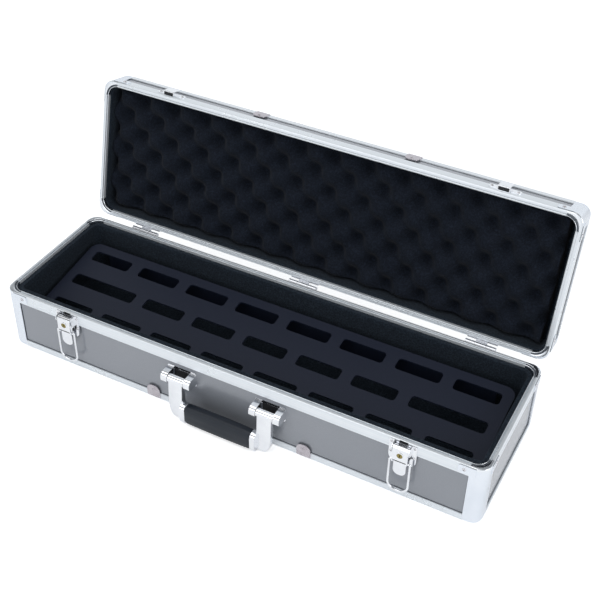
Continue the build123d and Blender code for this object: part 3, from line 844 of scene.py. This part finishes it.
def makeStrikeHollowShades():
    # a dark leaf of painted shade in the open side of each pressed hook on the lid
    shape = bmesh.new()
    half, near, far, up = shadeLeaf["hook"]
    low, high = lidRim + up - shadeLeaf["proud"], lidRim + up + shadeLeaf["sunk"]
    for side in (-1, 1):
        x = side * latchX
        addShadeLeaf(shape, (x - half, front - far, low), (x + half, front - near, high))
    shape.transform(openLid)
    addShades("strikeHollowShades", shape, "lid")


makeLatchShades()
makeStrikeHollowShades()
print("latch shades made")

bail = {"out": 0.0064, "z": 0.059, "half": 0.0114, "length": 0.044, "bend": 0.0105, "end": 0.0077, "wire": 0.00135,
        "topBend": 0.0012, "steps": 14}


def makeBail(word, x):
    # bent wire: in through the cheek, round the corner, down one side, across, and back up
    half, bend, short, steps = bail["half"], bail["bend"], bail["topBend"], bail["steps"]
    top, low = bail["z"], bail["z"] - bail["length"]
    left = [(-bail["end"], top), (-half + short + 0.0003, top)]
    left += rounded((-half + short, top - short), short, 90, 180, 4)
    left += [(-half, top - 0.012), (-half, low + bend + 0.006)]
    left += rounded((-half + bend, low + bend), bend, 180, 270, 10)
    path = left + [(-u, v) for u, v in reversed(left)]
    path = [spot for i, spot in enumerate(path) if i == 0 or (Vector(spot) - Vector(path[i - 1])).length > 1e-6]
    rings = []
    for i, (u, v) in enumerate(path):
        ahead = Vector(path[min(i + 1, len(path) - 1)]) - Vector(path[max(i - 1, 0)])
        ahead.normalize()
        sideways = Vector((-ahead.y, ahead.x))
        ring = []
        for k in range(steps):
            angle = 2 * math.pi * k / steps
            away = sideways * (bail["wire"] * math.cos(angle))
            ring.append((x + u + away.x, front - bail["out"] + bail["wire"] * math.sin(angle), v + away.y))
        rings.append(ring)
    shape = bmesh.new()
    lofted(shape, rings)
    faceOut(shape)
    piece = addPiece(word + "BailWire", shape, "chrome", word + "_bail")
    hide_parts(word + "_latch_bail")


handle = {"out": 0.011, "z": 0.055, "pitch": 0.112, "plate": (0.0185, 0.044, 0.064, 0.002), "plateRound": 0.0025,
          "plateSoften": 0.0004, "gauge": 0.0015, "lug": (0.0107, 0.0185, 0.0485, 0.0615, 0.016),
          "lugRound": 0.0058, "lugFoot": 0.0045, "soften": 0.0007, "slot": (0.0094, 0.0465, 0.0606),
          "barrel": (0.005, 0.01035), "barrelSoften": 0.0005, "armHalf": 0.009, "armRound": 0.0016, "armRows": 30,
          "tuck": (0.0025, 0.0045), "face": 0.0175, "back": 0.0092, "sweep": (0.011, 0.021),
          "flare": (0.0058, 0.017), "grip": (0.0155, 0.0149, 0.0152, 0.0260, 0.083), "gripRound": 0.42,
          "collarLip": 0.0006}


def softened(shape, width, segments=2, angle=35.0):
    edges = [edge for edge in shape.edges if edge.is_manifold and edge.calc_face_angle(0.0) > math.radians(angle)]
    bmesh.ops.bevel(shape, geom=edges, offset=width, segments=segments, profile=0.6, affect="EDGES",
                    clamp_overlap=True)


def pulled(shape, outline, axis, start, end):
    # an outline in the two other axes, pulled along one axis
    others = [i for i in range(3) if i != axis]
    rows = []
    for at in (start, end):
        row = []
        for u, v in outline:
            point = [0.0, 0.0, 0.0]
            point[axis], point[others[0]], point[others[1]] = at, u, v
            row.append(shape.verts.new(point))
        rows.append(row)
    skinned(shape, rows)


def joined(shape, part):
    # adds one finished solid to another mesh in the making
    faceOut(part)
    mesh = bpy.data.meshes.new("part")
    part.to_mesh(mesh)
    part.free()
    shape.from_mesh(mesh)
    bpy.data.meshes.remove(mesh)


def makeBracketSlotShades(face):
    # a dark leaf of painted shade in the slot between each bracket's lugs
    shape = bmesh.new()
    half, low, high = handle["slot"]
    for side in (-1, 1):
        addFrontShadeLeaf(shape, side * handle["pitch"] / 2, half, face, low, high)
    addShades("bracketSlotShades", shape, "base")


def makeBrackets():
    shape = bmesh.new()
    half, low, high, thick = handle["plate"]
    near, far, lugLow, lugHigh, out = handle["lug"]
    wall, tip = front + handle["gauge"], front - out
    bend, foot = handle["lugRound"], handle["lugFoot"]
    for side in (-1, 1):
        x = side * handle["pitch"] / 2
        plate = bmesh.new()
        pulled(plate, roundedRing(x - half, x + half, low, high, handle["plateRound"], 5), 1, wall - thick, wall)
        softened(plate, handle["plateSoften"])
        joined(shape, plate)
        for way in (-1, 1):
            lug = bmesh.new()
            ring = ([(wall - thick, lugLow)] + rounded((tip + foot, lugLow + foot), foot, 270, 180)
                    + rounded((tip + bend, lugHigh - bend), bend, 180, 90) + [(wall - thick, lugHigh)])
            pulled(lug, ring, 0, *sorted((x + way * near, x + way * far)))
            softened(lug, handle["soften"], 3)
            joined(shape, lug)
    makeBracketSlotShades(wall - thick)
    piece = addPiece("handleBrackets", shape, "chrome", "base")
    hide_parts("handle_brackets")


def makeArms():
    # each arm is lofted from its swept foot up to the barrel on the pin, with a collar that holds the grip
    shape = bmesh.new()
    gripOut, gripZ, gripDeep, gripTall, gripLength = handle["grip"]
    foot, top = gripZ - gripTall / 2, handle["z"] + 0.001
    radius, barrelHalf = handle["barrel"]
    sweepWide, sweepTall = handle["sweep"]
    flareWide, flareTall = handle["flare"]
    tuckDeep, tuckTall = handle["tuck"]
    rows = handle["armRows"]
    for side in (-1, 1):
        x = side * handle["pitch"] / 2
        rings = []
        for i in range(rows + 1):
            z = foot + (top - foot) * (i / rows) ** 1.25
            s = max(0.0, (foot + sweepTall - z) / sweepTall)
            outer = handle["armHalf"] - sweepWide * (1 - math.sqrt(max(0.0, 1 - s * s)))
            t = max(0.0, min(1.0, (foot + gripTall * 0.5 + flareTall - z) / flareTall))
            inner = handle["armHalf"] + flareWide * t * t * (3 - 2 * t)
            tuck = tuckDeep * max(0.0, 1 - (z - foot) / tuckTall) ** 2
            rise = max(0.0, min(1.0, (z - (foot + gripTall)) / (top - foot - gripTall)))
            face = front - handle["face"] + (handle["face"] - handle["out"] - radius) * rise
            ring = roundedRing(-inner, outer, face + tuck, front - handle["back"] - tuck, handle["armRound"])
            rings.append([(x + side * u, v, z) for u, v in ring])
        arm = bmesh.new()
        lofted(arm, rings)
        joined(shape, arm)
        barrel = bmesh.new()
        ring = rounded((front - handle["out"], handle["z"]), radius, 0, 350, 35)
        pulled(barrel, ring, 0, x - barrelHalf, x + barrelHalf)
        softened(barrel, handle["barrelSoften"], 2, 60.0)
        joined(shape, barrel)
        collar = bmesh.new()
        lip, near, far = handle["collarLip"], gripLength / 2, handle["pitch"] / 2 - handle["armHalf"] + 0.001
        rings = []
        for at, swell in ((near, -lip), (near + lip, 0.0), (far, 0.0)):
            u, v = gripDeep / 2 + swell, gripTall / 2 + swell
            ring = roundedRing(-u, u, -v, v, gripDeep * handle["gripRound"])
            rings.append([(side * at, front - gripOut + a, gripZ + b) for a, b in ring])
        lofted(collar, rings)
        joined(shape, collar)
    piece = addPiece("handleArms", shape, "chrome", "handle", sharp=38.0)
    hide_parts("handle_arms")


sleeve = {"rows": 40, "steps": 64, "taper": 0.0004, "rolled": (0.0008, 0.0012), "crease": (0.0003, 0.0035, 0.0008),
          "squareness": 3.1, "ribs": 16, "ribDeep": 0.00012}


def makeGrip():
    # a moulded sleeve: slightly fuller in the middle, with a small rolled edge and a crease at each end
    gripOut, gripZ, gripDeep, gripTall, gripLength = handle["grip"]
    rows, steps = sleeve["rows"], sleeve["steps"]
    rollDeep, rollLong = sleeve["rolled"]
    creaseDeep, creaseAt, creaseWide = sleeve["crease"]
    power = 2 / sleeve["squareness"]
    shape = bmesh.new()
    rings = []
    for i in range(rows + 1):
        t = -1 + 2 * i / rows
        at = t * gripLength / 2
        fromEnd = gripLength / 2 - abs(at)
        pinch = (sleeve["taper"] * t * t + rollDeep * max(0.0, 1 - fromEnd / rollLong) ** 2
                 + creaseDeep * math.exp(-((fromEnd - creaseAt) / creaseWide) ** 2))
        u, v = gripDeep / 2 - pinch, gripTall / 2 - pinch
        ring = []
        for k in range(steps):
            angle = 2 * math.pi * k / steps
            c, d = math.cos(angle), math.sin(angle)
            rib = sleeve["ribDeep"] * (0.5 + 0.5 * math.cos(sleeve["ribs"] * angle))
            ring.append((at, front - gripOut + math.copysign(abs(c) ** power, c) * (u - rib),
                         gripZ + math.copysign(abs(d) ** power, d) * (v - rib)))
        rings.append(ring)
    lofted(shape, rings)
    faceOut(shape)
    piece = addPiece("gripSleeve", shape, "rubber", "handle")
    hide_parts("handle_grip")


makeBrackets()
makeArms()
makeGrip()
print("handle made")
makeBail("left", -latchX)
makeBail("right", latchX)
print("bails made")

foam = {"pitch": (0.04325, 0.0448), "pit": (0.0292, -0.0002), "depth": 0.0175, "narrow": 1.7, "step": 0.0022,
        "edge": 0.003, "edgeDrop": 0.0012, "rough": 0.0005, "uneven": 0.0011}


def pitDepth(x, y, low, high):
    # rows of pits, every other row half a pitch over; what lies between them is hill
    px, py = foam["pitch"]
    x0, y0 = foam["pit"]
    wave = 0.5 + 0.5 * math.cos(2 * math.pi * (x - x0) / px) * math.cos(2 * math.pi * (y - y0) / py)
    border = min(x - low.x, high.x - x, y - low.y, high.y - y)
    worn = foam["edgeDrop"] * max(0.0, 1 - border / foam["edge"]) ** 2
    lumps = foam["rough"] * abs(noise.noise(Vector((x * 160, y * 160, 0.3))))
    swell = foam["uneven"] * (0.5 + 0.5 * noise.noise(Vector((x * 22, y * 22, 4.1))))
    return foam["depth"] * wave ** foam["narrow"] + worn + lumps + swell


def makeFoam():
    low, high = shutBox("lid_foam")
    shape = bmesh.new()
    nx, ny = round((high.x - low.x) / foam["step"]), round((high.y - low.y) / foam["step"])
    grid = []
    for i in range(nx + 1):
        x = low.x + (high.x - low.x) * i / nx
        row = []
        for j in range(ny + 1):
            y = low.y + (high.y - low.y) * j / ny
            row.append(shape.verts.new((x, y, low.z + pitDepth(x, y, low, high))))
        grid.append(row)
    for i in range(nx):
        for j in range(ny):
            shape.faces.new((grid[i][j], grid[i][j + 1], grid[i + 1][j + 1], grid[i + 1][j]))
    brink = [row[0] for row in grid] + grid[-1][1:] + [row[-1] for row in grid[-2::-1]] + grid[0][-2:0:-1]
    back = [shape.verts.new((vertex.co.x, vertex.co.y, high.z)) for vertex in brink]
    skinned(shape, [brink, back], capped=False)
    shape.faces.new(back)
    faceOut(shape)
    shape.transform(openLid)
    piece = addPiece("eggCrateFoam", shape, "foam", "lid")
    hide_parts("lid_foam")


makeFoam()
print("foam made")

linings = {"thick": 0.002, "wallThick": 0.0055, "frontExtra": 0.0032, "step": 0.008, "rounding": 0.0006,
           "wobble": 0.00025, "cornerRound": 0.013, "overLip": 0.0062, "belowRim": 0.0037}


def roundedLoop(reachX, reachY, radius, step):
    # points round a rectangle with rounded corners, each with the direction that faces outwards
    loop = []
    for k, (sx, sy) in enumerate(((1, 1), (-1, 1), (-1, -1), (1, -1))):
        middle = Vector((sx * (reachX - radius), sy * (reachY - radius)))
        for i in range(9):   # nine points round each corner
            angle = math.radians(90 * k + 90 * i / 8)
            away = Vector((math.cos(angle), math.sin(angle)))
            loop.append((middle + radius * away, away))
    full = []
    for (a, away), (b, following) in zip(loop, loop[1:] + loop[:1]):
        parts = max(1, round((b - a).length / step))
        full += [(a.lerp(b, i / parts), away.lerp(following, i / parts).normalized()) for i in range(parts)]
    return full


def liningRing(shape, reachX, reachY, low, high, thick, frontExtra=0.0):
    # one sheet round all four walls, its free edge rounded over
    radius, edge, wobble = linings["cornerRound"], linings["rounding"], linings["wobble"]
    rows = max(2, round((high - low) / linings["step"]))
    section = [(0, 0, low), (0, 0, high - edge), (0, edge * 0.4, high - edge * 0.2), (0, edge, high),
               (1, -edge, high), (1, -edge * 0.4, high - edge * 0.2)]
    section += [(1, 0, high - edge - (high - edge - low) * i / rows) for i in range(rows + 1)]
    columns = []
    for spot, away in roundedLoop(reachX, reachY, radius, linings["step"]):
        column = []
        here = thick + frontExtra * max(0.0, -away.y)
        for inside, past, z in section:
            dent = wobble * noise.noise(Vector((spot.x * 30, spot.y * 30, z * 30))) if inside and not past else 0.0
            at = spot - away * (here * inside + past + dent)
            column.append(shape.verts.new((at.x, at.y, z)))
        columns.append(column)
    skinned(shape, columns + columns[:1], capped=False)
    faceOut(shape)


def addLining(name, shape, body, node):
    bmesh.ops.remove_doubles(shape, verts=shape.verts, dist=1e-7)
    piece = addPiece(name, shape, "lining", body, sharp=60.0)
    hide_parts(node)


def makeLidLinings():
    # drawn upside down round z = 0, then turned over into the shut lid
    low, high = shutBox("lid_wall_pads")
    shape = bmesh.new()
    reach = linings["overLip"]
    liningRing(shape, halfLength - reach, halfDepth - reach, 0.0, high.z - low.z, linings["thick"])
    inset = reach + linings["rounding"]
    softPad(shape, Vector((inset - halfLength, inset - halfDepth, 0)),
            Vector((halfLength - inset, halfDepth - inset, linings["thick"])),
            linings["step"], linings["rounding"], linings["wobble"], 1.7)
    shape.transform(openLid @ Matrix.Translation((0, 0, high.z)) @ Matrix.Diagonal((1, 1, -1, 1)))
    bmesh.ops.reverse_faces(shape, faces=shape.faces)
    addLining("lidLinings", shape, "lid", "lid_wall_pads")


def makeWallLinings():
    # a thick sheet that runs up over the rim's inner lip; its top edge shows as a band, widest at the front
    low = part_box("base_wall_linings")[0].z
    shape = bmesh.new()
    reach = linings["overLip"] + 0.0001
    liningRing(shape, halfLength - reach, halfDepth - reach, low, rimHigh - linings["belowRim"],
               linings["wallThick"], linings["frontExtra"])
    addLining("wallLinings", shape, "base", "base_wall_linings")


def makeFloorLining():
    low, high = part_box("base_floor_lining")
    shape = bmesh.new()
    softPad(shape, low, high, linings["step"], linings["rounding"], linings["wobble"], 11.0)
    addLining("floorLining", shape, "base", "base_floor_lining")


makeLidLinings()
makeWallLinings()
makeFloorLining()
print("soft parts made")
